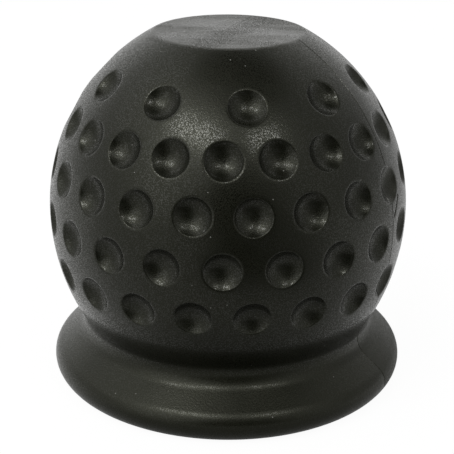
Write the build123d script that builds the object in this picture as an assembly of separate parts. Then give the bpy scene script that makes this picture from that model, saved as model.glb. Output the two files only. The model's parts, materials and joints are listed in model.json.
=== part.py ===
from build123d import *
import math
import os

# Tow ball cover: one hollow rubber moulding, a dimpled ball with a flat top, a neck and a flared skirt.
# Millimetres, Z up. The origin is on the axis, in the plane that the skirt's foot stands on.
# The mould parts in the XZ plane, and the dimples are laid out from that plane.

# Hollow: the ball that the cover fits, the room round it and the tight throat under it
tow_ball_d = 50.0
cavity_clearance = 0.4
throat_squeeze = 2.5
throat_lip_round = 1.5

# Ball: an upper and a lower arc that meet at the widest place, both centred beyond the axis
ball_wall = 7.6
upper_arc_beyond_axis = 4.0
lower_arc_beyond_axis = 7.2
flat_top_r = 13.6
flat_top_round = 2.0

# Neck: the wall is measured to the neck's corner, before rounding
neck_wall = 3.67
neck_round = 3.5

# Skirt: a sloping top face, a fully rounded edge, a flat foot and a flared way in
skirt_overhang = 0.15
skirt_slope_deg = 37.5
skirt_edge_round = 3.3
foot_width = 1.7
foot_inner_round = 0.6
lead_in_deg = 37.0
lead_in_round = 1.5

# Dimples: rows one step apart along the ball's section, the fourth at the ball's widest place
dimples_around = 20
dimple_d = 6.8
dimple_depth = 1.5
dimple_row_step = 9.2
dimple_rows_above = 3
dimple_rows_below = 1

# Radii that follow
cavity_r = tow_ball_d / 2 + cavity_clearance
throat_r = tow_ball_d / 2 - throat_squeeze
ball_r = cavity_r + ball_wall
upper_arc_r = ball_r + upper_arc_beyond_axis
lower_arc_r = ball_r + lower_arc_beyond_axis
neck_r = throat_r + neck_wall
skirt_r = ball_r + skirt_overhang
skirt_edge_r = skirt_r - skirt_edge_round
foot_inner_r = skirt_edge_r - foot_width

# Heights that follow, from the foot upwards
slope = math.radians(skirt_slope_deg)
edge_start_r = skirt_edge_r + skirt_edge_round * math.sin(slope)
edge_start_h = skirt_edge_round * (1 + math.cos(slope))
neck_h = edge_start_h + (edge_start_r - neck_r) * math.tan(slope)
ball_centre_h = neck_h + math.sqrt(lower_arc_r**2 - (neck_r + lower_arc_beyond_axis) ** 2)
top_h = ball_centre_h + math.sqrt(upper_arc_r**2 - (flat_top_r + upper_arc_beyond_axis) ** 2)
lead_in_h = (foot_inner_r - throat_r) / math.tan(math.radians(lead_in_deg))
throat_top_h = ball_centre_h - math.sqrt(cavity_r**2 - throat_r**2)
cavity_top_h = ball_centre_h + cavity_r


def plain_cover():
    """The cover without its dimples: the half section from the axis outwards, turned about Z."""
    cavity_top = (0, cavity_top_h)
    top_edge = (flat_top_r, top_h)
    ball_side = (ball_r, ball_centre_h)
    neck = (neck_r, neck_h)
    edge_start = (edge_start_r, edge_start_h)
    edge_side = (skirt_r, skirt_edge_round)
    edge_end = (skirt_edge_r, 0)
    foot_inner = (foot_inner_r, 0)
    throat_bottom = (throat_r, lead_in_h)
    throat_top = (throat_r, throat_top_h)
    cavity_side = (cavity_r, ball_centre_h)
    rounds = {
        top_edge: flat_top_round,
        neck: neck_round,
        foot_inner: foot_inner_round,
        throat_bottom: lead_in_round,
        throat_top: throat_lip_round,
    }
    with BuildSketch() as section:
        with BuildLine():
            Polyline(cavity_top, (0, top_h), top_edge)
            TangentArc(ball_side, top_edge, tangent=(0, 1))
            TangentArc(ball_side, neck, tangent=(0, -1))
            Line(neck, edge_start)
            ThreePointArc(edge_start, edge_side, edge_end)
            Polyline(edge_end, foot_inner, throat_bottom, throat_top)
            ThreePointArc(throat_top, cavity_side, cavity_top)
        make_face()
        for corner, radius in rounds.items():
            fillet(section.vertices().sort_by_distance((*corner, 0))[0], radius)
    return revolve(Plane.XZ * section.sketch, Axis.Z)


def dimple_cutters():
    """A ball for each dimple, in rows along the section, every second row half a step round."""
    rim_r = dimple_d / 2
    cutter_r = (rim_r**2 + dimple_depth**2) / (2 * dimple_depth)
    cutters = []
    for row in range(-dimple_rows_below, dimple_rows_above + 1):
        beyond_axis = lower_arc_beyond_axis if row < 0 else upper_arc_beyond_axis
        arc_r = ball_r + beyond_axis
        cutter_to_arc_centre = math.sqrt(arc_r**2 - rim_r**2) + cutter_r - dimple_depth
        tilt = row * dimple_row_step / arc_r
        out = cutter_to_arc_centre * math.cos(tilt) - beyond_axis
        height = ball_centre_h + cutter_to_arc_centre * math.sin(tilt)
        # The top row has half as many, the other rows alternate from the parting plane
        top_row = row == dimple_rows_above
        count = dimples_around // 2 if top_row else dimples_around
        step = 360 / count
        first = step / 2 if top_row or row % 2 == 0 else 0
        for place in range(count):
            turned = Rot(0, 0, first + place * step) * Pos(out, 0, height)
            cutters.append(turned * Rot(0, 90 - math.degrees(tilt), 0) * Sphere(cutter_r))
    return cutters


ball_cover = plain_cover() - dimple_cutters()

os.makedirs("parts", exist_ok=True)
export_step(ball_cover, "parts/ball_cover.step")
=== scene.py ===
import json
import math
from typing import NamedTuple

import bmesh
import bpy
from bpy.props import FloatProperty, FloatVectorProperty, IntProperty, PointerProperty
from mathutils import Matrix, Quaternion, Vector


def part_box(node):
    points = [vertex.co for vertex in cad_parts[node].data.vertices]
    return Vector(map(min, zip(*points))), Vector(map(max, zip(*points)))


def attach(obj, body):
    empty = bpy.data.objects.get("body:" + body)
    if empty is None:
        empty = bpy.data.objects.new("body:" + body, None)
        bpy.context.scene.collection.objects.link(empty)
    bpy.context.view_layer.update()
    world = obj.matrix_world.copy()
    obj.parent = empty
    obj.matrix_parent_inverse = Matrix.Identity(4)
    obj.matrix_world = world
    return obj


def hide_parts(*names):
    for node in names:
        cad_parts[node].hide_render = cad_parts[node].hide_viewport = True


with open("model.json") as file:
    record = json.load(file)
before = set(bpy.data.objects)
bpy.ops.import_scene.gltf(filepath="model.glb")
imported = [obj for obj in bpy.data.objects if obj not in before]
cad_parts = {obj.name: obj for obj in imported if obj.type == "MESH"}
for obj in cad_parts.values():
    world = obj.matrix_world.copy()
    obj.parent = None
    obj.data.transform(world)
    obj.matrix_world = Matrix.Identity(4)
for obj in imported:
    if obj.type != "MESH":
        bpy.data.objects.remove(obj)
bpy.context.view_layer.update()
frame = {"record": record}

bl_info = {
    "name": "Tow Ball Cover",
    "version": (1, 0, 0),
    "blender": (4, 5, 0),
    "location": "View3D > Sidebar > Ball Cover",
    "description": "Models a dimpled rubber cover for a tow ball, and the studio it is shown in",
    "category": "Object",
}

NODE = "ball_cover"
PIECE = "cover"
THROAT = next(mount for mount in frame["record"]["mounts"] if mount["name"] == "tow_ball_throat")
COVER_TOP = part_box(NODE)[1]

MILLIMETRE = 0.001
FULL_TURN = 2 * math.pi
QUARTER_TURN = math.pi / 2
ORIGIN = (0.0, 0.0, 0.0)
AXIS = (0.0, 0.0, 1.0)
WHITE = (1.0, 1.0, 1.0, 1.0)


def span(low, high):
    """Two lengths in metres, given in millimetres."""
    return low * MILLIMETRE, high * MILLIMETRE


# Corners closer than this are welded, and faces that meet flatter than this are shaded smooth
SEAM = 0.004 * MILLIMETRE
SMOOTH = math.radians(30.0)

# Rows of dimples above and below the one at the ball's widest place
ROWS_ABOVE = 3
ROWS_BELOW = 1

# Edges across a full row's dimple patch and along every patch, and the tries that lay a corner on the skin
PATCH_ACROSS = 12
PATCH_ALONG = 8
LAYING_TRIES = 6

# Edges along each round of the half section
STEPS = {
    "crown": 6,
    "flat_edge": 5,
    "under_ball": 7,
    "neck": 14,
    "skirt_edge": 18,
    "foot_edge": 4,
    "way_in": 5,
    "lip": 5,
    "hollow": 18,
}

# Small turns, in radians, by which an arc's edges stay clear of the round it meets
CLEAR = {"crown": 0.012, "neck": 0.01, "hollow": 0.01}

# Where edges lie along each straight run, and over a dimple's rim, bowl and patch, as shares of it
SHARES = {
    "flat_top": (0.985, 0.93, 0.8, 0.62, 0.42, 0.22, 0.0),
    "skirt": (0.06, 0.3, 0.55, 0.8, 0.95),
    "foot": (0.1, 0.9),
    "way_in": (0.0, 0.05, 0.35, 0.65, 0.95),
    "throat": (0.05, 0.35, 0.65, 0.95),
    "rim": (1.022, 1.0, 0.978, 0.94, 0.915, 0.895, 0.875, 0.85),
    "bowl": (0.8, 0.72, 0.62, 0.5, 0.37, 0.24, 0.12, 0.0),
    "patch": (0.0, 0.3, 0.65, 1.0),
}

# The parting line stops at these shares of the skirt edge's round and of the flat top's round
PARTING_FOOT = 1 / 8
PARTING_TOP = 1 / 40

# Cuts that make the skin's faces fine enough for the nick
NICK_CUTS = 5

# Heights and depths over which one part of the rubber's skin gives way to the next
NECK = span(9.0, 13.0)
LOWEST_BOWLS = span(13.0, 15.0)
BOWL_DEPTHS = span(0.2, 0.7)
REAR_HALF = span(-0.05, 0.05)
REAR_FADE = span(0.0, -9.0)
FLAT_TOP = span(-0.25, -0.02)
STRIPE_EDGE = span(3.6, 1.6)

# Noise levels over which each pattern of the rubber comes in
NOISE_MEAN = 0.5
PATCHES = (0.42, 0.72)
SMEARS = (0.35, 0.65)
SCUFFS = (0.50, 0.58)
FACETS = (0.51, 0.61)
DUSTY = (0.90, 0.91)

# How much each pattern adds to the rubber's greying, roughness, relief and gloss. On the skirt the greying
# is painted light: the skirt is painted lighter than the ball so that it, and the neck's crease that
# mirrors it, look brighter
BLOOM_AND_PAINTED_LIGHT = {"patches": 0.6, "rear": 0.4, "skirt": 0.5, "smears": 1.5}
ROUGHER = {
    "skirt": -0.04,
    "facets": -0.28,
    "patches": 0.12,
    "rear_skirt": 0.2,
    "bowl": -0.03,
    "smears": 0.9,
    "flat": -0.03,
    "stripe": 0.14,
    "dust": 0.3,
}
RELIEF = {"scuffs": 4.0, "bowl": 0.7, "waves": 0.8, "smears": 4.0}
GLOSS = {"facets": 0.7, "flat": -0.8, "scuffs": 0.8, "rear": 0.25}
SKIRT_FACETS = 0.4


class Softbox(NamedTuple):
    """A lamp: degrees from the camera's side to the right and up, size in metres, turn and brightness."""

    name: str
    azimuth: float
    elevation: float
    width: float
    height: float
    turn: float
    radiance: float


class RoomLight(NamedTuple):
    """A soft round light in the room: degrees as for a lamp, cosines at its edge and core, and strength."""

    azimuth: float
    elevation: float
    edge: float
    core: float
    strength: float


LEFT_SOFTBOX = Softbox(
    "left_softbox", azimuth=-31.5, elevation=52.0, width=0.34, height=0.13, turn=-4.0, radiance=4.4
)
RIGHT_SOFTBOX = Softbox(
    "right_softbox", azimuth=32.5, elevation=48.0, width=0.20, height=0.10, turn=0.0, radiance=4.0
)

# The dark card takes light away
WINDOW = RoomLight(azimuth=-39.0, elevation=26.0, edge=0.86, core=0.97, strength=0.56)
LEFT_WALL = RoomLight(azimuth=-84.0, elevation=50.0, edge=0.84, core=0.97, strength=0.34)
DARK_CARD = RoomLight(azimuth=132.0, elevation=16.0, edge=0.94, core=0.99, strength=-0.13)
FAR_WALL = RoomLight(azimuth=140.0, elevation=48.0, edge=0.80, core=0.97, strength=0.13)
DOORWAY = RoomLight(azimuth=52.0, elevation=27.0, edge=0.85, core=0.98, strength=0.08)
HALO = RoomLight(azimuth=-25.0, elevation=62.0, edge=0.87, core=0.98, strength=0.20)

# Brightness of the room round the cover, and the cosines over which its parts come in
ROOM = {"dim": 0.024, "sides": 0.33, "left": 0.15, "behind": 0.37, "overhead": 0.055, "paper": 0.8}
BESIDE = (0.97, 0.6)
LEFTWARDS = (0.7, -0.7)
BEHIND = (-0.3, -0.9)
OVERHEAD = (0.84, 0.98)
OVERHEAD_LEAN = 0.1
PAPER_BEHIND = (-0.78, -0.95)

# The floor: its size, its tone for each kind of ray, and the glow that the camera sees
FLOOR_RADIUS = 2.0
FLOOR_CORNERS = 96
FLOOR_TONE = {"bounced": 0.20, "seen": 0.09, "mirrored": 0.02}
FLOOR_GLOW = 0.95

# The floor as the rubber mirrors it, a glow of painted light with painted shadow close to the skirt:
# brightness of its parts, and the lengths over which they come in
MIRRORED = {
    "plain": 0.34,
    "wedge": -0.335,
    "left": 0.12,
    "right": 0.15,
    "behind": 0.25,
    "behind_left": 0.07,
}
# Painted shadow on the floor in front of the skirt, and painted light behind it
PAINTED_SHADOW_AND_LIGHT_BY_SKIRT = {"front": -0.45, "behind": 0.50, "behind_left": 0.30}
WEDGE_TURN = 20.0
WEDGE_SIDES = (1.0, 0.36)
WEDGE_REACH = span(55.0, 110.0)
LEFT_LIGHT = span(5.0, 70.0)
RIGHT_LIGHT = span(-40.0, -100.0)
FLOOR_BEHIND = span(50.0, -30.0)
FLOOR_BEHIND_LEFT = span(-50.0, 50.0)
FAR_FADE = span(90.0, 180.0)
RIGHT_FADE = span(20.0, -40.0)
FADE_SHARE = 0.8
CLOSE_BY = span(56.0, 34.0)
CLOSE_BEHIND = span(45.0, 0.0)
CLOSE_LEFT = span(-30.0, 30.0)


def length(name, description, millimetres):
    """A size of the cover that a user may change, given in millimetres and kept in metres."""
    return FloatProperty(
        name=name,
        description=description,
        default=millimetres * MILLIMETRE,
        min=0.0,
        precision=5,
        subtype="DISTANCE",
        unit="LENGTH",
    )


def angle(name, description, degrees):
    """An angle that a user may change, given in degrees and kept in radians."""
    return FloatProperty(
        name=name, description=description, default=math.radians(degrees), subtype="ANGLE", unit="ROTATION"
    )


def level(name, description, default, least=0.0, most=100.0):
    """A plain number that a user may change."""
    return FloatProperty(
        name=name, description=description, default=default, min=least, max=most, precision=4
    )


def colour(name, description, default):
    """A colour that a user may change."""
    return FloatVectorProperty(
        name=name, description=description, default=default, size=3, min=0.0, max=1.0, subtype="COLOR"
    )


class CoverSizes(bpy.types.PropertyGroup):
    """Sizes of the rubber moulding. The height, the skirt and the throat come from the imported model."""

    top_height: length("Height", "From the foot to the flat top", COVER_TOP.z / MILLIMETRE)
    skirt_radius: length("Skirt radius", "Widest radius of the skirt", COVER_TOP.x / MILLIMETRE)
    throat_radius: length("Throat radius", "Radius that grips under the tow ball", THROAT["dims"]["r_mm"])
    ball_radius: length("Ball radius", "Widest radius of the ball", 33.0)
    upper_offset: length("Upper arc offset", "How far beyond the axis the upper arc is centred", 4.0)
    lower_offset: length("Lower arc offset", "How far beyond the axis the lower arc is centred", 7.2)
    cavity_radius: length("Hollow radius", "Radius of the round hollow", 25.4)
    flat_radius: length("Flat top radius", "Radius of the flat top before its edge is rounded", 13.6)
    flat_round: length("Flat top round", "Rounding of the flat top's edge", 2.0)
    neck_round: length("Neck round", "Rounding between the ball and the skirt", 3.5)
    skirt_slope: angle("Skirt slope", "Slope of the skirt's upper face", 37.5)
    edge_round: length("Skirt edge round", "Rounding of the skirt's edge", 3.3)
    foot_width: length("Foot width", "Width of the flat foot before its inner edge is rounded", 1.7)
    foot_round: length("Foot round", "Rounding of the foot's inner edge", 0.6)
    lead_in: angle("Lead-in angle", "Half angle of the flared way in", 37.0)
    lead_in_round: length("Lead-in round", "Rounding between the flared way in and the throat", 1.5)
    lip_round: length("Throat lip round", "Rounding between the throat and the hollow", 1.5)
    dimples_around: IntProperty(
        name="Dimples around", description="Dimples in a full row", default=20, min=4
    )
    dimple_width: length("Dimple width", "Width of a dimple where its bowl meets the ball", 6.8)
    dimple_depth: length("Dimple depth", "Depth of a dimple below its rim", 1.5)
    rim_reach: length("Dimple rim reach", "How far a dimple's broken rim reaches beyond its width", 0.18)
    rim_inset: length("Dimple rim inset", "How far the bowl itself stays inside that width", 0.08)
    rim_tilt: angle("Dimple rim tilt", "Slope of the broken rim towards the bowl", 11.0)
    rim_round: length("Dimple rim round", "Depth over which the broken rim is rounded into the bowl", 0.07)
    row_step: length("Row step", "From one row of dimples to the next along the ball", 9.2)
    parting_width: length("Parting line width", "Width of the groove where the mould's halves meet", 0.24)
    parting_depth: length("Parting line depth", "Depth of that groove", 0.1)
    nick_start: length("Nick start", "Run above the widest place where the nick starts", 6.2)
    nick_length: length("Nick length", "How far the nick runs down to the parting line", 3.9)
    nick_reach: length("Nick reach", "How far from the parting line the nick starts", 3.0)
    nick_width: length("Nick width", "Width of the nick", 0.56)
    nick_depth: length("Nick depth", "Depth of the nick", 0.25)


class RubberFinish(bpy.types.PropertyGroup):
    """Looks of the moulded rubber."""

    rubber: colour("Rubber", "Colour of the rubber itself", (0.0050, 0.0054, 0.0026))
    # Painted light as well as greying: the skirt is painted part of the way to this colour, lighter than
    # the ball, so that it and the neck's crease that mirrors it look brighter
    bloom: colour("Bloom", "Colour where the rubber has greyed a little", (0.0100, 0.0105, 0.0062))
    sheen: colour("Sheen", "Tint of the light that the skin throws back", (0.98, 1.0, 0.81))
    dust: colour("Dust", "Colour of single specks of dust", (0.30, 0.30, 0.28))
    dust_size: length("Dust size", "Width of a speck of dust", 0.26)
    dust_spacing: length("Dust spacing", "From one place where dust may lie to the next", 1.3)
    roughness: level("Roughness", "Roughness of the satin skin", 0.38, most=1.0)
    grain: length("Grain size", "Size of the fine moulded grain", 0.30)
    grain_depth: length("Grain depth", "Depth of the fine moulded grain", 0.034)
    facet: length("Facet size", "Size of the grain's glossy facets", 0.20)
    wave: length("Wave size", "Size of the skin's gentle unevenness", 4.0)
    patch: length("Patch size", "Size of the patches of bloom", 14.0)
    smear: length("Smear width", "Width of the smears on the flat top", 4.5)
    smear_stretch: level("Smear stretch", "How many times longer than wide the smears are", 3.0)
    smear_turn: angle("Smear turn", "Direction of the smears on the flat top", 20.0535)
    scuff: length("Scuff size", "Size of the scuffed places on the flat top", 6.0)
    stripe_place: length("Stripe place", "How far from the axis the flat top's dull stripe lies", 1.2)
    stripe_wander: length("Stripe wander", "How far the dull stripe winds to and fro", 7.0)


class StudioSettings(bpy.types.PropertyGroup):
    """Camera and lamps."""

    azimuth: angle("Azimuth", "Camera's place round the cover, from the front towards the right", 28.35)
    elevation: angle("Elevation", "Camera's height above the ball's middle", 20.61)
    distance: length("Distance", "From the camera to the ball's middle", 237.5)
    nearest: length("Nearest", "Distance before which the camera sees nothing", 10.0)
    aim_height: length("Aim height", "Height that the camera looks at, over the axis", 27.65)
    roll: angle("Roll", "Camera's turn about its own line of sight", 0.436)
    side_shift: level("Side shift", "Shift to the right, as a share of the picture", -0.0015, -1.0, 1.0)
    lens: FloatProperty(
        name="Lens", description="Focal length on a 36 mm sensor", default=100.6, unit="CAMERA"
    )
    lamp_distance: length("Lamp distance", "From the softboxes to the ball's middle", 600.0)


class Tap:
    """A shader socket that plain arithmetic can be written on."""

    def __init__(self, tree, socket):
        self.tree = tree
        self.socket = socket

    @classmethod
    def node(cls, tree, kind, settings=None, output=0, **inputs):
        """Adds a node, its settings first and then its inputs, by name with _ for a space or by number."""
        made = tree.nodes.new(kind)
        for key, value in (settings or {}).items():
            setattr(made, key, value)
        for key, value in inputs.items():
            by_number = key[0] == "n" and key[1:].isdigit()
            socket = made.inputs[int(key[1:]) if by_number else key.replace("_", " ")]
            if isinstance(value, Tap):
                tree.links.new(value.socket, socket)
            else:
                socket.default_value = value
        return cls(tree, made.outputs[output] if made.outputs else None)

    def math(self, operation, *others):
        """This value and others through one Math node."""
        values = {f"n{place}": value for place, value in enumerate([self, *others])}
        return Tap.node(self.tree, "ShaderNodeMath", {"operation": operation}, **values)

    def reflected(self, operation, other):
        """A number on the left of this value, through one Math node."""
        return Tap.node(self.tree, "ShaderNodeMath", {"operation": operation}, n0=other, n1=self)

    def __add__(self, other):
        return self.math("ADD", other)

    def __radd__(self, other):
        return self.reflected("ADD", other)

    def __sub__(self, other):
        return self.math("SUBTRACT", other)

    def __rsub__(self, other):
        return self.reflected("SUBTRACT", other)

    def __mul__(self, other):
        return self.math("MULTIPLY", other)

    def __rmul__(self, other):
        return self.reflected("MULTIPLY", other)

    def __truediv__(self, other):
        return self.math("DIVIDE", other)

    def __rtruediv__(self, other):
        return self.reflected("DIVIDE", other)

    def abs(self):
        """This value without its sign."""
        return self.math("ABSOLUTE")

    def over(self, low, high):
        """A smooth step from 0 at low to 1 at high. High may be the smaller."""
        if low > high:
            return 1 - self.over(high, low)
        smooth = {"interpolation_type": "SMOOTHSTEP"}
        return Tap.node(self.tree, "ShaderNodeMapRange", smooth, Value=self, From_Min=low, From_Max=high)

    def blend(self, first, second):
        """A colour from first to second as this value goes from 0 to 1."""
        return Tap.node(self.tree, "ShaderNodeMixRGB", Fac=self, Color1=first, Color2=second)

    def vector_math(self, operation, **others):
        """A number from this vector through one Vector Math node."""
        settings = {"operation": operation}
        return Tap.node(self.tree, "ShaderNodeVectorMath", settings, output="Value", n0=self, **others)

    def along(self, direction):
        """How far this vector reaches in a direction."""
        return self.vector_math("DOT_PRODUCT", n1=direction)

    def noise(self, size, detail, **more):
        """A soft random pattern on this vector, with features of about a size."""
        return Tap.node(self.tree, "ShaderNodeTexNoise", Vector=self, Scale=1 / size, Detail=detail, **more)


def blank_tree(owner):
    """The node tree of a material or a world, cleared."""
    owner.use_nodes = True
    owner.node_tree.nodes.clear()
    return owner.node_tree


def ray_kinds(tree):
    """Whether a ray is the camera's own, and whether it is mirrored or has passed a clear piece."""
    path = tree.nodes.new("ShaderNodeLightPath")
    mirrored = Tap(tree, path.outputs["Is Glossy Ray"])
    through = Tap(tree, path.outputs["Is Transmission Ray"])
    return Tap(tree, path.outputs["Is Camera Ray"]), mirrored.math("MAXIMUM", through)


def only(*objects):
    """Selects these objects and no others, and makes the first one active."""
    bpy.ops.object.select_all(action="DESELECT")
    for made in objects:
        made.select_set(True)
    bpy.context.view_layer.objects.active = objects[0]


def pick(test):
    """In edit mode, selects the vertices that pass the test, and the edges and faces between them."""
    bpy.ops.mesh.select_mode(type="VERT")
    bpy.ops.mesh.select_all(action="DESELECT")
    mesh = bpy.context.object.data
    work = bmesh.from_edit_mesh(mesh)
    for vertex in work.verts:
        vertex.select = test(vertex.co)
    work.select_flush(True)
    bmesh.update_edit_mesh(mesh)


def shift(move):
    """In edit mode, puts each selected vertex where move sends it."""
    mesh = bpy.context.object.data
    work = bmesh.from_edit_mesh(mesh)
    for vertex in work.verts:
        if vertex.select:
            vertex.co = move(vertex.co)
    bmesh.update_edit_mesh(mesh)


def around_axis(point, turn):
    """A point of the half section, turned about the axis."""
    return Vector((point.x * math.cos(turn), point.x * math.sin(turn), point.y))


def arc(centre, radius, start, end, steps):
    """Points of a half section along a round, from one direction to another."""
    for step in range(steps + 1):
        turn = start + (end - start) * step / steps
        yield centre + radius * Vector((math.cos(turn), math.sin(turn)))


def heading(vector):
    """Direction of a vector of the half section, as an angle."""
    return math.atan2(vector.y, vector.x)


def rounded(corner, before, after, radius, steps):
    """Points of a round that takes a corner off, between two runs given as unit vectors from it."""
    half = before.angle(after) / 2
    centre = corner + (before + after).normalized() * radius / math.sin(half)
    start = heading(corner + before * radius / math.tan(half) - centre)
    end = heading(corner + after * radius / math.tan(half) - centre)
    end += FULL_TURN * round((start - end) / FULL_TURN)
    return list(arc(centre, radius, start, end, steps))


class Section:
    """The cover's half section: radius across, height up, and where its rounds meet its runs."""

    def __init__(self, sizes):
        self.sizes = sizes
        beyond = sizes.flat_radius + sizes.upper_offset
        upper = sizes.ball_radius + sizes.upper_offset
        self.middle = sizes.top_height - math.sqrt(upper**2 - beyond**2)
        self.edge_centre = Vector((sizes.skirt_radius - sizes.edge_round, sizes.edge_round))
        self.foot_corner = Vector((self.edge_centre.x - sizes.foot_width, 0.0))
        self.way_in = Vector((-math.sin(sizes.lead_in), math.cos(sizes.lead_in)))
        outwards = Vector((1.0, 0.0))
        steps = STEPS["foot_edge"]
        self.foot_edge = rounded(self.foot_corner, outwards, self.way_in, sizes.foot_round, steps)

    def skin(self, rise):
        """Centre and radius of the arc that the ball follows, above its widest place or below it."""
        offset = self.sizes.lower_offset if rise < 0 else self.sizes.upper_offset
        return Vector((-offset, self.middle)), self.sizes.ball_radius + offset

    def lean(self, run):
        """Direction in which the ball's skin faces at a run along its section from the widest place."""
        return run / self.skin(run)[1]

    def on_ball(self, run):
        """The ball's skin at a run along its section from the widest place."""
        centre, radius = self.skin(run)
        return centre + radius * Vector((math.cos(run / radius), math.sin(run / radius)))

    def ball_to(self, start, end, steps):
        """Points on the ball's skin from one run to another."""
        return [self.on_ball(start + (end - start) * step / steps) for step in range(steps + 1)]

    def above_dimples(self, run):
        """From the upper edge of the dimple rows to the middle of the flat top."""
        sizes = self.sizes
        arc_centre, radius = self.skin(run)
        height = sizes.top_height - sizes.flat_round
        reach = radius - sizes.flat_round
        out = math.sqrt(reach**2 - (height - self.middle) ** 2) - sizes.upper_offset
        centre = Vector((out, height))
        touch = heading(centre - arc_centre)
        points = self.ball_to(run, (touch - CLEAR["crown"]) * radius, STEPS["crown"])
        points += arc(centre, sizes.flat_round, touch, QUARTER_TURN, STEPS["flat_edge"])
        points += [Vector((centre.x * share, sizes.top_height)) for share in SHARES["flat_top"]]
        return points

    def below_dimples(self, run):
        """From the lower edge of the dimple rows over the neck and the skirt to the foot's inner edge."""
        sizes = self.sizes
        arc_centre, radius = self.skin(run)
        facing = Vector((math.sin(sizes.skirt_slope), math.cos(sizes.skirt_slope)))
        uphill = Vector((-facing.y, facing.x))
        # The neck's round rolls up the skirt's face until it touches the ball
        rolling = self.edge_centre + facing * (sizes.edge_round + sizes.neck_round) - arc_centre
        along = rolling.dot(uphill)
        reach = radius + sizes.neck_round
        either_way = math.sqrt(along**2 - rolling.length_squared + reach**2)
        climb = -along - either_way
        if climb < 0:
            climb = -along + either_way
        neck = arc_centre + rolling + uphill * climb
        touch = heading(neck - arc_centre)
        face_end = neck - facing * sizes.neck_round
        face_start = self.edge_centre + facing * sizes.edge_round
        points = self.ball_to(run, (touch + CLEAR["neck"]) * radius, STEPS["under_ball"])
        inwards = heading(-facing) + FULL_TURN
        points += arc(neck, sizes.neck_round, touch + math.pi, inwards, STEPS["neck"])
        points += [face_end.lerp(face_start, share) for share in SHARES["skirt"]]
        points += arc(
            self.edge_centre, sizes.edge_round, heading(facing), -QUARTER_TURN, STEPS["skirt_edge"]
        )
        points += [points[-1].lerp(self.foot_edge[0], share) for share in SHARES["foot"]]
        return points + self.foot_edge

    def inside(self):
        """From the foot's inner edge up the flared way in, the throat and the round hollow."""
        sizes = self.sizes
        flare = (self.foot_corner.x - sizes.throat_radius) / math.tan(sizes.lead_in)
        throat = Vector((sizes.throat_radius, flare))
        upright = Vector((0.0, 1.0))
        bend = rounded(throat, -self.way_in, upright, sizes.lead_in_round, STEPS["way_in"])
        reach = sizes.cavity_radius + sizes.lip_round
        lip_out = sizes.throat_radius + sizes.lip_round
        lip = Vector((lip_out, self.middle - math.sqrt(reach**2 - lip_out**2)))
        throat_end = Vector((sizes.throat_radius, lip.y))
        hollow = Vector((0.0, self.middle))
        start = heading(lip - hollow)
        dome = arc(hollow, sizes.cavity_radius, start + CLEAR["hollow"], QUARTER_TURN, STEPS["hollow"])
        points = [self.foot_edge[-1].lerp(bend[0], share) for share in SHARES["way_in"]]
        points += bend
        points += [bend[-1].lerp(throat_end, share) for share in SHARES["throat"]]
        points += arc(lip, sizes.lip_round, math.pi, start + math.pi, STEPS["lip"])
        points += list(dome)[:-1]
        return points + [Vector((0.0, self.middle + sizes.cavity_radius))]


def turned(name, points, steps):
    """A new object: one vertex extruded along a half section and spun round the axis."""
    bpy.ops.object.select_all(action="DESELECT")
    bpy.ops.mesh.primitive_plane_add(size=MILLIMETRE, enter_editmode=True)
    bpy.context.object.name = name
    bpy.ops.mesh.select_all(action="SELECT")
    bpy.ops.mesh.merge(type="CENTER")
    bpy.ops.transform.translate(value=(points[0].x, 0.0, points[0].y))
    for here, there in zip(points, points[1:]):
        run = there - here
        bpy.ops.mesh.extrude_vertices_move(TRANSFORM_OT_translate={"value": (run.x, 0.0, run.y)})
    bpy.ops.mesh.select_all(action="SELECT")
    bpy.ops.mesh.spin(steps=steps, angle=FULL_TURN, center=ORIGIN, axis=AXIS)
    bpy.ops.object.mode_set(mode="OBJECT")
    return bpy.context.object


def soft_max(first, second, room):
    """The larger of two values, rounded off where they differ by less than room."""
    return max(first, second) + max(room - abs(first - second), 0.0) ** 2 / (4 * room)


def bowl_rings(sizes):
    """One dimple's rings from its broken rim inwards: radius, and depth below the ball's skin."""
    skin = sizes.ball_radius + sizes.upper_offset / 2
    rim = sizes.dimple_width / 2 - sizes.rim_inset
    edge = sizes.dimple_width / 2 + sizes.rim_reach
    bowl = (rim**2 + sizes.dimple_depth**2) / (2 * sizes.dimple_depth)
    bowl_centre = math.sqrt(skin**2 - rim**2) + bowl - sizes.dimple_depth

    def depth(out):
        hollow = math.sqrt(skin**2 - out**2) + math.sqrt(bowl**2 - out**2) - bowl_centre
        broken = (edge - out) * math.tan(sizes.rim_tilt)
        return soft_max(soft_max(broken, 0.0, sizes.rim_round / 4), hollow, sizes.rim_round)

    outermost, *inner = [edge * share for share in SHARES["rim"] + SHARES["bowl"]]
    return [(outermost, 0.0)] + [(radius, depth(radius)) for radius in inner]


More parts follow.
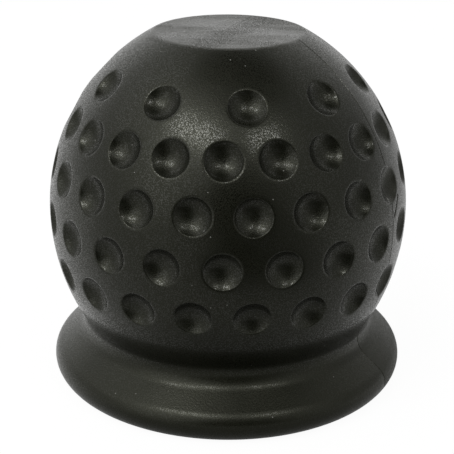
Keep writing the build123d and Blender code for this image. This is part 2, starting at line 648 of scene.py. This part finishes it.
class DimpleRow:
    """One row of dimples, each in a patch of the ball's skin that meets its neighbours on shared edges."""

    def __init__(self, section, row, count, first, grid):
        self.section = section
        self.sizes = section.sizes
        self.run = row * self.sizes.row_step
        self.count = count
        self.first = first
        self.across = grid // count
        self.along = PATCH_ALONG
        self.corners = 2 * (self.across + self.along)
        tilt = section.lean(self.run)
        lean = Vector((math.cos(tilt), math.sin(tilt)))
        self.outward = around_axis(lean, first)
        self.climbing = around_axis(Vector((-lean.y, lean.x)), first)
        self.sideways = Vector((-math.sin(first), math.cos(first), 0.0))
        self.place = around_axis(section.on_ball(self.run), first)
        self.edges = [self.edge(corner) for corner in range(self.corners)]

    def edge(self, corner):
        """Where a corner of the patch's edge lies, across and along, seen square to the dimple."""
        half_across, half_along = self.across // 2, self.along // 2
        corner = (corner + half_along) % self.corners - half_along
        if corner <= half_along:
            across, along = half_across, corner
        elif corner <= half_along + self.across:
            across, along = half_across - (corner - half_along), half_along
        elif corner <= 3 * half_along + self.across:
            across, along = -half_across, half_along - (corner - half_along - self.across)
        else:
            across, along = corner - 3 * half_along - self.across - half_across, -half_along
        around = across * FULL_TURN / (self.count * self.across)
        flat = self.section.on_ball(self.run + along * self.sizes.row_step / self.along)
        away = around_axis(flat, self.first + around) - self.place
        return Vector((away.dot(self.sideways), away.dot(self.climbing), 0.0))

    def on_skin(self, point):
        """A point of the flat patch, slid along the dimple's axis to its depth below the ball's skin."""
        flat = self.place + self.sideways * point.x + self.climbing * point.y
        slide = 0.0
        for _ in range(LAYING_TRIES):
            spot = flat + self.outward * slide
            out = spot.xy.length
            centre, radius = self.section.skin(spot.z - self.section.middle)
            miss = Vector((out, spot.z)) - centre
            slope = miss.dot(Vector((spot.xy.dot(self.outward.xy) / out, self.outward.z)))
            slide -= (miss.length_squared - radius**2) / (2 * slope)
        return flat + self.outward * (slide + point.z)

    def model(self, name, rings):
        """A new object: a dimple modelled flat from a circle, laid on the ball and copied all round."""
        bpy.ops.object.select_all(action="DESELECT")
        rim = rings[0][0]
        bpy.ops.mesh.primitive_circle_add(vertices=self.corners, radius=rim, enter_editmode=True)
        bpy.context.object.name = name
        bpy.ops.mesh.select_all(action="SELECT")
        for (wide, high), (narrow, low) in zip(rings, rings[1:-1]):
            bpy.ops.mesh.extrude_region_move(TRANSFORM_OT_translate={"value": (0.0, 0.0, high - low)})
            share = narrow / wide
            bpy.ops.transform.resize(value=(share, share, 1.0), center_override=ORIGIN)
        bottom = rings[-2][1] - rings[-1][1]
        bpy.ops.mesh.extrude_region_move(TRANSFORM_OT_translate={"value": (0.0, 0.0, bottom)})
        bpy.ops.mesh.merge(type="CENTER")
        pick(lambda spot: spot.xy.length > rim - SEAM)
        shares = SHARES["patch"]
        for before, share in zip(shares, shares[1:]):
            bpy.ops.mesh.extrude_region_move()
            shift(lambda spot: self.spread(spot, rim, before, share))
        bpy.ops.mesh.select_all(action="SELECT")
        shift(self.on_skin)
        copies = self.count - 1
        sweep = FULL_TURN * copies / self.count
        bpy.ops.mesh.spin(steps=copies, dupli=True, angle=sweep, center=ORIGIN, axis=AXIS)
        bpy.ops.object.mode_set(mode="OBJECT")
        return bpy.context.object

    def ring(self, corner, rim, share):
        """A corner of a ring that lies a share of the way from the rim to the patch's edge."""
        turn = corner * FULL_TURN / self.corners
        on_rim = Vector((math.cos(turn) * rim, math.sin(turn) * rim, 0.0))
        return on_rim.lerp(self.edges[corner], share)

    def spread(self, spot, rim, before, share):
        """Where a corner goes from the ring at one share to the ring at the next."""

        def away(corner):
            return (self.ring(corner, rim, before) - spot).length_squared

        return self.ring(min(range(self.corners), key=away), rim, share)


def dimple_rows(section, grid):
    """The rows from the top down. The top row has half as many, and every second one is half a step on."""
    rows = []
    for row in range(ROWS_ABOVE, -ROWS_BELOW - 1, -1):
        top_row = row == ROWS_ABOVE
        full = section.sizes.dimples_around
        count = full // 2 if top_row else full
        first = math.pi / count if top_row or row % 2 == 0 else 0.0
        rows.append(DimpleRow(section, row, count, first, grid))
    return rows


class COVER_OT_moulding(bpy.types.Operator):
    """Models the rubber cover and gives it its finish"""

    bl_idname = "cover.moulding"
    bl_label = "Model the Cover"
    bl_options = {"REGISTER", "UNDO"}

    def execute(self, context):
        sizes = context.scene.cover_sizes
        section = Section(sizes)
        grid = PATCH_ACROSS * sizes.dimples_around
        rows = dimple_rows(section, grid)
        rings = bowl_rings(sizes)
        half_row = sizes.row_step / 2
        outside = [row.model(f"row_{place}", rings) for place, row in enumerate(rows)]
        outside.append(turned("crown", section.above_dimples(rows[0].run + half_row), grid))
        outside.append(turned("skirt", section.below_dimples(rows[-1].run - half_row), grid))
        shell = self.join(outside)
        self.part_mould(sizes)
        self.nick(sizes, section)
        cover = self.join([shell, turned("hollow", section.inside(), grid)])
        cover.name = cover.data.name = PIECE
        self.check_closed(cover)
        bpy.ops.object.shade_smooth_by_angle(angle=SMOOTH)
        cover.data.materials.clear()
        cover.data.materials.append(rubber(context.scene.rubber_finish, section))
        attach(cover, "root")
        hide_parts(NODE)
        return {"FINISHED"}

    def join(self, parts):
        """Joins objects into the first one, welds the edges they share and turns all faces outwards."""
        only(*parts)
        bpy.ops.object.join()
        bpy.ops.object.mode_set(mode="EDIT")
        bpy.ops.mesh.select_all(action="SELECT")
        bpy.ops.mesh.remove_doubles(threshold=SEAM)
        bpy.ops.mesh.normals_make_consistent(inside=False)
        bpy.ops.object.mode_set(mode="OBJECT")
        return bpy.context.object

    def part_mould(self, sizes):
        """Presses the fine groove that the mould's halves leave, from the flat top's edge to the foot."""
        low = sizes.edge_round * PARTING_FOOT
        high = sizes.top_height - sizes.flat_round * PARTING_TOP

        def on_parting(spot):
            return abs(spot.y) < SEAM and low < spot.z < high

        bpy.ops.object.mode_set(mode="EDIT")
        pick(on_parting)
        bpy.ops.mesh.bevel(offset=sizes.parting_width / 2, segments=2, clamp_overlap=False)
        pick(on_parting)
        bpy.ops.transform.shrink_fatten(value=-sizes.parting_depth)
        bpy.ops.object.mode_set(mode="OBJECT")

    def nick(self, sizes, section):
        """Presses a short groove that leaves the parting line and climbs past a third-row dimple."""
        high = section.on_ball(sizes.nick_start).y
        low = section.on_ball(sizes.nick_start - sizes.nick_length).y
        half = sizes.nick_width / 2

        def near(spot, margin):
            beside = half < spot.y < sizes.nick_reach + half + margin
            return spot.x > 0 and beside and low - half - margin < spot.z < high + half + margin

        def pressed(spot):
            climb = (spot.z - low) / (high - low)
            aside = abs(spot.y - sizes.nick_reach * climb) / half
            return spot - Vector((sizes.nick_depth * max(1 - aside, 0.0), 0.0, 0.0))

        bpy.ops.object.mode_set(mode="EDIT")
        pick(lambda spot: near(spot, sizes.nick_width))
        bpy.ops.mesh.subdivide(number_cuts=NICK_CUTS)
        pick(lambda spot: near(spot, 0.0))
        shift(pressed)
        bpy.ops.object.mode_set(mode="OBJECT")

    def check_closed(self, cover):
        """Stops the script where an edge is open or has more than two faces."""
        bpy.ops.object.mode_set(mode="EDIT")
        bpy.ops.mesh.select_mode(type="VERT")
        bpy.ops.mesh.select_all(action="DESELECT")
        bpy.ops.mesh.select_non_manifold()
        work = bmesh.from_edit_mesh(cover.data)
        stray = [vertex.co.copy() for vertex in work.verts if vertex.select]
        if stray:
            raise RuntimeError(f"The cover is open at {len(stray)} places, first at {stray[0]}")
        bpy.ops.object.mode_set(mode="OBJECT")


def in_bowls(section, along, across, up):
    """1 in the dimples' bowls, told from the ball's skin by how deep a place lies below it."""
    sizes = section.sizes
    rise = up - section.middle
    upper = rise.math("GREATER_THAN", 0.0)
    offset = upper * (sizes.upper_offset - sizes.lower_offset) + sizes.lower_offset
    out = (along * along + across * across).math("SQRT") + offset
    deep = sizes.ball_radius + offset - (out * out + rise * rise).math("SQRT")
    return deep.over(*BOWL_DEPTHS) * up.over(*LOWEST_BOWLS)


def dust_specks(place, finish):
    """1 on single specks of dust, which lie on a few places only."""
    spots = {"Vector": place, "Scale": 1 / finish.dust_spacing}
    away = Tap.node(place.tree, "ShaderNodeTexVoronoi", output="Distance", **spots)
    chance = Tap.node(place.tree, "ShaderNodeTexVoronoi", output="Color", **spots)
    chosen = Tap.node(place.tree, "ShaderNodeSeparateColor", Color=chance).over(*DUSTY)
    reach = finish.dust_size / 2 / finish.dust_spacing
    return away.over(reach, reach / 2) * chosen


def rubber(finish, section):
    """Satin black rubber: a fine grain, a faint greying, a skirt painted a little lighter as painted light,
    smears on the flat top and single specks of dust.
    """
    made = bpy.data.materials.new("satin_black_rubber")
    tree = blank_tree(made)
    place = Tap.node(tree, "ShaderNodeTexCoord", output="Object")
    along, across, up = (
        Tap.node(tree, "ShaderNodeSeparateXYZ", output=axis, Vector=place) for axis in ("X", "Y", "Z")
    )
    below_top = up - section.sizes.top_height
    on_ball = up.over(*NECK)
    skirt = 1 - on_ball
    bowl = in_bowls(section, along, across, up)
    dust = dust_specks(place, finish)
    grain = place.noise(finish.grain, detail=2.0, Roughness=0.6)
    waves = place.noise(finish.wave, detail=2.0)
    patches = place.noise(finish.patch, detail=3.0)
    # The mould's rear half has left a slightly greyer skin on the ball and a duller one on the skirt
    rear_half = across.over(*REAR_HALF)
    rear = rear_half * on_ball * below_top.over(*REAR_FADE)
    # Smears run one way across the flat top
    flat = below_top.over(*FLAT_TOP)
    wiped = Tap.node(
        tree,
        "ShaderNodeMapping",
        {"vector_type": "TEXTURE"},
        Vector=place,
        Rotation=(0.0, 0.0, finish.smear_turn),
        Scale=(finish.smear_stretch, 1.0, 1.0),
    )
    smears = wiped.noise(finish.smear, detail=5.0, Roughness=0.52)
    # A dull, scuffed stripe crosses it
    winding = (waves - NOISE_MEAN) * finish.stripe_wander
    stripe = flat * (along + winding - finish.stripe_place).abs().over(*STRIPE_EDGE)
    scuffs = (flat * place.noise(finish.scuff, detail=2.0).over(*SCUFFS)).math("MAXIMUM", stripe)
    # Painted light: the skirt's share paints it lighter than the ball, so that it and the neck's crease
    # that mirrors it look brighter; the patches, the rear half and the smears are the rubber's own greying
    bloom = patches.over(*PATCHES) * BLOOM_AND_PAINTED_LIGHT["patches"] + rear * BLOOM_AND_PAINTED_LIGHT["rear"] + skirt * BLOOM_AND_PAINTED_LIGHT["skirt"]
    bloom = bloom + flat * (smears.over(*SMEARS) * BLOOM_AND_PAINTED_LIGHT["smears"] - bloom)
    shade = bloom.blend((*finish.rubber, 1.0), (*finish.bloom, 1.0))
    shade = dust.blend(shade, (*finish.dust, 1.0))
    # The grain is matte, with small glossy facets in it
    facets = place.noise(finish.facet, detail=1.0).over(*FACETS)
    facets = facets * (on_ball * (1 - SKIRT_FACETS) + SKIRT_FACETS)
    roughness = (
        finish.roughness
        + skirt * ROUGHER["skirt"]
        + facets * ROUGHER["facets"]
        + (patches - NOISE_MEAN) * ROUGHER["patches"]
        + rear_half * skirt * ROUGHER["rear_skirt"]
        + bowl * ROUGHER["bowl"]
        + flat * ((smears - NOISE_MEAN) * ROUGHER["smears"] + ROUGHER["flat"])
        + stripe * ROUGHER["stripe"]
        + dust * ROUGHER["dust"]
    )
    height = (
        (grain - NOISE_MEAN) * (1 + scuffs * RELIEF["scuffs"] + bowl * RELIEF["bowl"])
        + (waves - NOISE_MEAN) * RELIEF["waves"]
        + flat * (smears - NOISE_MEAN) * RELIEF["smears"]
    )
    glossy = facets * (1 + flat * GLOSS["flat"] + scuffs * GLOSS["scuffs"]) * GLOSS["facets"]
    skin = Tap.node(
        tree,
        "ShaderNodeBsdfPrincipled",
        Base_Color=shade,
        Roughness=roughness,
        IOR=1.46,
        Specular_Tint=(*finish.sheen, 1.0),
        Coat_Weight=glossy.math("MAXIMUM", rear * GLOSS["rear"]),
        Coat_Roughness=0.12,
        Coat_IOR=1.5,
        Normal=Tap.node(tree, "ShaderNodeBump", Strength=1.0, Distance=finish.grain_depth, Height=height),
    )
    Tap.node(tree, "ShaderNodeOutputMaterial", Surface=skin)
    return made


def towards(studio, azimuth, elevation=0.0):
    """A direction from the cover, by degrees from the camera's side to the right, and up."""
    turn = studio.azimuth + math.radians(azimuth)
    rise = math.radians(elevation)
    return Vector((math.sin(turn) * math.cos(rise), -math.cos(turn) * math.cos(rise), math.sin(rise)))


def mirrored_floor(place, studio):
    """How brightly each place of the floor glows, as painted light, where the rubber mirrors it."""
    near = place.along(towards(studio, 0.0))
    left = place.along(towards(studio, -90.0))
    far = place.vector_math("LENGTH")
    # A dark wedge, with less painted light, opens from the cover towards the camera
    ahead = place.along(towards(studio, WEDGE_TURN))
    astray = place.along(towards(studio, WEDGE_TURN + 90.0)).abs() / ahead.math("MAXIMUM", MILLIMETRE)
    wedge = ahead.over(*WEDGE_REACH) * astray.over(*WEDGE_SIDES)
    # The painted light is brighter behind the cover, and fades far off on the right
    fading = far.over(*FAR_FADE) * left.over(*RIGHT_FADE)
    behind = near.over(*FLOOR_BEHIND) * (1 - fading * FADE_SHARE)
    lit = (
        MIRRORED["plain"]
        + wedge * MIRRORED["wedge"]
        + left.over(*LEFT_LIGHT) * MIRRORED["left"]
        + left.over(*RIGHT_LIGHT) * MIRRORED["right"]
        + behind * (MIRRORED["behind"] + left.over(*FLOOR_BEHIND_LEFT) * MIRRORED["behind_left"])
    )
    # Close to the skirt, a painted shadow darkens the floor in front, and painted light brightens it behind
    close_behind = PAINTED_SHADOW_AND_LIGHT_BY_SKIRT["behind"] + left.over(*CLOSE_LEFT) * PAINTED_SHADOW_AND_LIGHT_BY_SKIRT["behind_left"]
    change = PAINTED_SHADOW_AND_LIGHT_BY_SKIRT["front"] + near.over(*CLOSE_BEHIND) * close_behind
    return lit * (1 + far.over(*CLOSE_BY) * change)


def pale_paper(studio):
    """Paper that keeps a soft shadow for the camera, and glows with painted light and painted shadow where
    the rubber mirrors it.
    """
    made = bpy.data.materials.new("pale_paper")
    tree = blank_tree(made)
    seen, mirrored = ray_kinds(tree)
    place = Tap.node(tree, "ShaderNodeTexCoord", output="Object")
    bounced = (1 - seen) * (1 - mirrored)
    tone = bounced * FLOOR_TONE["bounced"] + seen * FLOOR_TONE["seen"] + mirrored * FLOOR_TONE["mirrored"]
    paper = Tap.node(tree, "ShaderNodeBsdfDiffuse", Color=tone)
    strength = seen * FLOOR_GLOW + mirrored * mirrored_floor(place, studio)
    glow = Tap.node(tree, "ShaderNodeEmission", Strength=strength)
    both = Tap.node(tree, "ShaderNodeAddShader", n0=paper, n1=glow)
    Tap.node(tree, "ShaderNodeOutputMaterial", Surface=both)
    # The glow is only looked at, and is no lamp
    made.cycles.emission_sampling = "NONE"
    return made


class COVER_OT_studio(bpy.types.Operator):
    """Sets up the floor, the lamps, the room and the camera"""

    bl_idname = "cover.studio"
    bl_label = "Set Up the Studio"
    bl_options = {"REGISTER", "UNDO"}

    def execute(self, context):
        scene = context.scene
        scene.view_settings.view_transform = "Standard"
        studio = scene.cover_studio
        middle = Vector((0.0, 0.0, Section(scene.cover_sizes).middle))
        self.camera(scene, studio, middle)
        self.room(scene, studio)
        self.floor(studio)
        for softbox in (LEFT_SOFTBOX, RIGHT_SOFTBOX):
            self.lamp(scene, studio, middle, softbox)
        return {"FINISHED"}

    def camera(self, scene, studio, middle):
        """The camera at the photograph's viewing angle."""
        data = bpy.data.cameras.new("camera")
        data.lens = studio.lens
        data.shift_x = studio.side_shift
        data.clip_start = studio.nearest
        camera = bpy.data.objects.new("camera", data)
        scene.collection.objects.link(camera)
        back = towards(studio, 0.0, math.degrees(studio.elevation))
        camera.location = middle + back * studio.distance
        aim = Vector((0.0, 0.0, studio.aim_height))
        look = (aim - camera.location).to_track_quat("-Z", "Y")
        camera.rotation_mode = "QUATERNION"
        camera.rotation_quaternion = look @ Quaternion(AXIS, studio.roll)
        scene.camera = camera

    def lamp(self, scene, studio, middle, softbox):
        """A rectangular softbox that looks at the ball's middle, turned about its own line of sight."""
        data = bpy.data.lights.new(softbox.name, "AREA")
        data.shape = "RECTANGLE"
        data.size, data.size_y = softbox.width, softbox.height
        data.energy = softbox.radiance * math.pi * softbox.width * softbox.height
        lamp = bpy.data.objects.new(softbox.name, data)
        scene.collection.objects.link(lamp)
        away = towards(studio, softbox.azimuth, softbox.elevation)
        lamp.location = middle + away * studio.lamp_distance
        lamp.rotation_mode = "QUATERNION"
        square = (-away).to_track_quat("-Z", "Y")
        lamp.rotation_quaternion = square @ Quaternion(AXIS, math.radians(softbox.turn))

    def room(self, scene, studio):
        """White paper behind and beside the cover, and a dark room on the camera's side."""
        world = bpy.data.worlds.new("studio")
        scene.world = world
        tree = blank_tree(world)
        facing = Tap.node(tree, "ShaderNodeTexCoord", output="Generated")

        def glow(light):
            nearness = facing.along(towards(studio, light.azimuth, light.elevation))
            return nearness.over(light.edge, light.core) * light.strength

        front = facing.along(towards(studio, 0.0))
        right = facing.along(towards(studio, 90.0))
        up = facing.along(AXIS)
        sides = right.over(*LEFTWARDS) * ROOM["left"] + ROOM["sides"]
        light = ROOM["dim"] + front.over(*BESIDE) * sides + front.over(*BEHIND) * ROOM["behind"]
        for place in (WINDOW, LEFT_WALL, DARK_CARD, FAR_WALL, DOORWAY):
            light = light + glow(place)
        overhead = (up + right * OVERHEAD_LEAN).over(*OVERHEAD)
        light = light + overhead * (ROOM["overhead"] - light) + glow(HALO)
        seen, mirrored = ray_kinds(tree)
        paper = mirrored * front.over(*PAPER_BEHIND)
        light = light + paper * (ROOM["paper"] - light)
        strength = seen + (1 - seen) * light
        background = Tap.node(tree, "ShaderNodeBackground", Color=WHITE, Strength=strength)
        Tap.node(tree, "ShaderNodeOutputWorld", Surface=background)

    def floor(self, studio):
        """A pale floor that keeps a soft shadow and runs into the white behind it."""
        bpy.ops.object.select_all(action="DESELECT")
        bpy.ops.mesh.primitive_circle_add(vertices=FLOOR_CORNERS, radius=FLOOR_RADIUS, fill_type="NGON")
        floor = bpy.context.object
        floor.name = "floor"
        floor.data.materials.append(pale_paper(studio))


class COVER_PT_panel(bpy.types.Panel):
    """Sizes, finish and studio of the tow ball cover"""

    bl_idname = "COVER_PT_panel"
    bl_label = "Tow Ball Cover"
    bl_space_type = "VIEW_3D"
    bl_region_type = "UI"
    bl_category = "Ball Cover"

    def draw(self, context):
        for group in (context.scene.cover_sizes, context.scene.rubber_finish, context.scene.cover_studio):
            box = self.layout.box()
            for name in group.__annotations__:
                box.prop(group, name)
        self.layout.operator(COVER_OT_moulding.bl_idname)
        self.layout.operator(COVER_OT_studio.bl_idname)


CLASSES = (CoverSizes, RubberFinish, StudioSettings, COVER_OT_moulding, COVER_OT_studio, COVER_PT_panel)


def register():
    for kind in CLASSES:
        bpy.utils.register_class(kind)
    bpy.types.Scene.cover_sizes = PointerProperty(type=CoverSizes)
    bpy.types.Scene.rubber_finish = PointerProperty(type=RubberFinish)
    bpy.types.Scene.cover_studio = PointerProperty(type=StudioSettings)


def unregister():
    del bpy.types.Scene.cover_studio
    del bpy.types.Scene.rubber_finish
    del bpy.types.Scene.cover_sizes
    for kind in reversed(CLASSES):
        bpy.utils.unregister_class(kind)


def main():
    register()
    bpy.ops.cover.moulding()
    bpy.ops.cover.studio()


if __name__ == "__main__":
    main()
